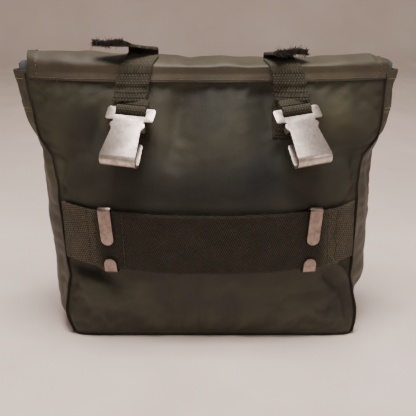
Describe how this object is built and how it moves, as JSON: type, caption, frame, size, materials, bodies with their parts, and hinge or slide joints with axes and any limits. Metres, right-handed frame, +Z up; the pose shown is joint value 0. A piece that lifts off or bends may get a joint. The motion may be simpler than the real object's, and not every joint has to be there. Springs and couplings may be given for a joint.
{
  "type": "canvas field bag",
  "caption": "Stuffed canvas field bag with a lift-over flap, two sheet-metal belt hooks on webbing loops and a belt band with sliding metal clips.",
  "frame": {"origin": "middle of the flat base, on the surface the bag stands on", "axes": "+Z up, -Y out of the side with the hooks and the belt band, +X to the right as that side is seen"},
  "size_m": [0.324, 0.1449, 0.2542],
  "materials": {
    "body_canvas": "coated cotton canvas, olive drab, semi-matt",
    "flap_canvas": "coated cotton canvas, olive drab, faded lighter",
    "side_canvas": "coated cotton canvas, olive drab, semi-matt",
    "welt_tape": "black-brown rolled tape",
    "grey_lining": "bluish grey lining cloth",
    "webbing": "woven cotton webbing, dark olive",
    "binding_tape": "woven tape, olive",
    "black_snap": "blackened snap cap",
    "snap_metal": "dull brass",
    "hook_aluminium": "satin sheet aluminium with fine scratches",
    "clip_aluminium": "satin sheet aluminium"
  },
  "bodies": {
    "bag": {"back_panel": "body_canvas", "front_panel": "body_canvas", "left_gusset": "side_canvas", "right_gusset": "side_canvas", "base_panel": "body_canvas", "left_back_welt": "welt_tape", "right_back_welt": "welt_tape", "left_front_welt": "welt_tape", "right_front_welt": "welt_tape", "base_welt": "welt_tape", "mouth_facing": "binding_tape", "left_dust_ear": "grey_lining", "right_dust_ear": "grey_lining", "flap_root": "flap_canvas", "back_band": "webbing", "left_strap_base": "webbing", "right_strap_base": "webbing", "left_hook_loop": "webbing", "right_hook_loop": "webbing", "left_cover_strap": "webbing", "right_cover_strap": "webbing", "left_snap_stud": "snap_metal", "right_snap_stud": "snap_metal"},
    "flap": {"flap": "flap_canvas", "flap_hem": "binding_tape", "flap_side_bindings": "binding_tape", "left_strap_tail": "webbing", "right_strap_tail": "webbing", "left_closure_tab": "webbing", "right_closure_tab": "webbing", "left_snap_cap": "black_snap", "right_snap_cap": "black_snap", "left_snap_socket": "snap_metal", "right_snap_socket": "snap_metal"},
    "left_hook": {"left_hook": "hook_aluminium"},
    "right_hook": {"right_hook": "hook_aluminium"},
    "left_band_clip": {"left_band_clip": "clip_aluminium"},
    "right_band_clip": {"right_band_clip": "clip_aluminium"}
  },
  "joints": [
    {"name": "flap_lift", "type": "hinge", "parent": "bag", "child": "flap", "pos_m": [0, -0.0295, 0.232], "axis": [1, 0, 0], "range_deg": [0, 150]},
    {"name": "left_hook_swing", "type": "hinge", "parent": "bag", "child": "left_hook", "pos_m": [-0.063, -0.04094, 0.201], "axis": [-0.96, 0.2775, 0.037], "range_deg": [0, 75]},
    {"name": "right_hook_swing", "type": "hinge", "parent": "bag", "child": "right_hook", "pos_m": [0.069, -0.04034, 0.201], "axis": [-0.9284, -0.3665, -0.0616], "range_deg": [0, 75]},
    {"name": "left_clip_slide", "type": "slide", "parent": "bag", "child": "left_band_clip", "axis": [0.9677, -0.2519, 0], "range_m": [-0.004, 0.004]},
    {"name": "right_clip_slide", "type": "slide", "parent": "bag", "child": "right_band_clip", "axis": [0.9677, 0.2519, 0], "range_m": [-0.004, 0.004]}
  ]
}
